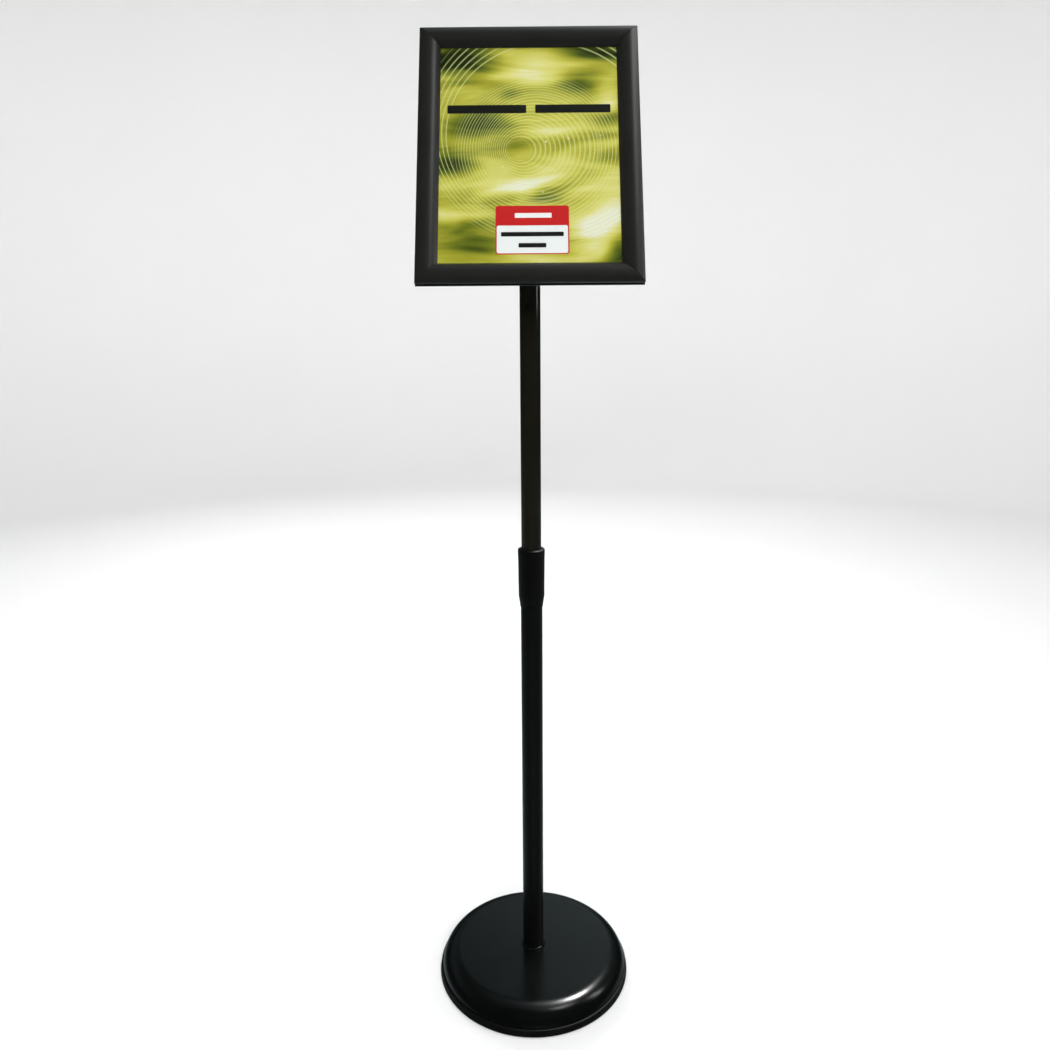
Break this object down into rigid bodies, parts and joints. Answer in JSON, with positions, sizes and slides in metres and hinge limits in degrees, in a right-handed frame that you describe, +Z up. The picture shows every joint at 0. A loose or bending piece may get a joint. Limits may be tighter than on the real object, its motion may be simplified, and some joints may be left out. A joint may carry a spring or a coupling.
{
  "type": "pedestal sign stand",
  "caption": "Floor-standing sign holder with a weighted round base, telescoping twist-lock pole and a tilting, turning snap frame for a letter sheet.",
  "frame": {"origin": "on the pole's axis at floor level, under the middle of the base", "axes": "+Z up along the pole; the sign faces -Y and leans back 21.5 degrees; +X is to the right of a reader who faces the sign"},
  "size_m": [0.255, 0.255, 1.198],
  "materials": {
    "gloss_coat": "semi-gloss black powder coat on the pressed steel base shell",
    "satin_coat": "satin black coat on the lower tube",
    "tube_gloss": "glossy black coat on the upper tube",
    "cast_weight": "rough as cast",
    "rim_rubber": "satin black rubber",
    "foot_rubber": "matt black rubber",
    "base_plastic": "matt black sheet plastic",
    "clutch_plastic": "matt moulded black plastic",
    "inner_plastic": "dark grey moulded plastic",
    "natural_nylon": "natural white nylon",
    "zinc_steel": "zinc-plated steel",
    "head_coat": "satin black coat on cast metal",
    "hub_plastic": "matt moulded black plastic",
    "rail_coat": "satin charcoal coat on extruded aluminium",
    "panel_plastic": "matt black sheet plastic",
    "spring_steel": "spring steel",
    "rivet_alloy": "plain aluminium",
    "printed_sheet": "printed glossy sheet, soft green and yellow blur",
    "clear_sheet": "clear plastic cover sheet"
  },
  "bodies": {
    "stand": {"base_shell": "gloss_coat", "base_weight": "cast_weight", "base_bottom_plate": "base_plastic", "base_rim_ring": "rim_rubber", "base_feet": "foot_rubber", "base_bolt": "zinc_steel", "base_washer": "zinc_steel", "pole_foot_ring": "gloss_coat", "lower_tube": "satin_coat", "lower_tube_insert": "zinc_steel", "clutch_seat": "inner_plastic"},
    "collar": {"clutch_collar": "clutch_plastic"},
    "collet": {"clutch_collet": "natural_nylon"},
    "mast": {"upper_tube": "tube_gloss", "guide_bush": "natural_nylon", "pole_head": "head_coat", "pivot_bolt": "zinc_steel", "pivot_washers": "natural_nylon"},
    "knob": {"tilt_knob": "clutch_plastic"},
    "tilt_arm": {"tilt_knuckle": "head_coat", "swivel_washer": "zinc_steel", "swivel_screw": "zinc_steel"},
    "frame": {"swivel_hub": "hub_plastic", "hub_rivets": "rivet_alloy", "back_panel": "panel_plastic", "base_rail_left": "rail_coat", "base_rail_right": "rail_coat", "base_rail_top": "rail_coat", "base_rail_bottom": "rail_coat", "corner_keys": "zinc_steel", "rail_springs": "spring_steel", "poster_sheet": "printed_sheet", "clear_cover": "clear_sheet"},
    "left_cover": {"cover_rail_left": "rail_coat"},
    "right_cover": {"cover_rail_right": "rail_coat"},
    "top_cover": {"cover_rail_top": "rail_coat"},
    "bottom_cover": {"cover_rail_bottom": "rail_coat"}
  },
  "joints": [
    {"name": "collar_twist", "type": "hinge", "parent": "stand", "child": "collar", "pos_m": [0, 0, 0.55], "axis": [0, 0, 1], "range_deg": [0, 180]},
    {"name": "pole_turn", "type": "hinge", "parent": "stand", "child": "collet", "pos_m": [0, 0, 0.576], "axis": [0, 0, 1], "continuous": true},
    {"name": "pole_height", "type": "slide", "parent": "collet", "child": "mast", "axis": [0, 0, 1], "range_m": [-0.4, 0.07]},
    {"name": "knob_turn", "type": "hinge", "parent": "mast", "child": "knob", "pos_m": [0.02, 0, 1.035], "axis": [1, 0, 0], "range_deg": [0, 360]},
    {"name": "frame_tilt", "type": "hinge", "parent": "mast", "child": "tilt_arm", "pos_m": [0, 0, 1.035], "axis": [-1, 0, 0], "range_deg": [-21.5, 68.5]},
    {"name": "frame_turn", "type": "hinge", "parent": "tilt_arm", "child": "frame", "pos_m": [0, -0.02605, 1.04526], "axis": [0, -0.9304, 0.3665], "range_deg": [-90, 90]},
    {"name": "left_cover_open", "type": "hinge", "parent": "frame", "child": "left_cover", "pos_m": [-0.121, -0.04364, 1.05219], "axis": [0, -0.3665, -0.9304], "range_deg": [0, 90]},
    {"name": "right_cover_open", "type": "hinge", "parent": "frame", "child": "right_cover", "pos_m": [0.121, -0.04364, 1.05219], "axis": [0, 0.3665, 0.9304], "range_deg": [0, 90]},
    {"name": "top_cover_open", "type": "hinge", "parent": "frame", "child": "top_cover", "pos_m": [0, 0.01226, 1.19408], "axis": [-1, 0, 0], "range_deg": [0, 90]},
    {"name": "bottom_cover_open", "type": "hinge", "parent": "frame", "child": "bottom_cover", "pos_m": [0, -0.09953, 0.9103], "axis": [1, 0, 0], "range_deg": [0, 90]}
  ]
}
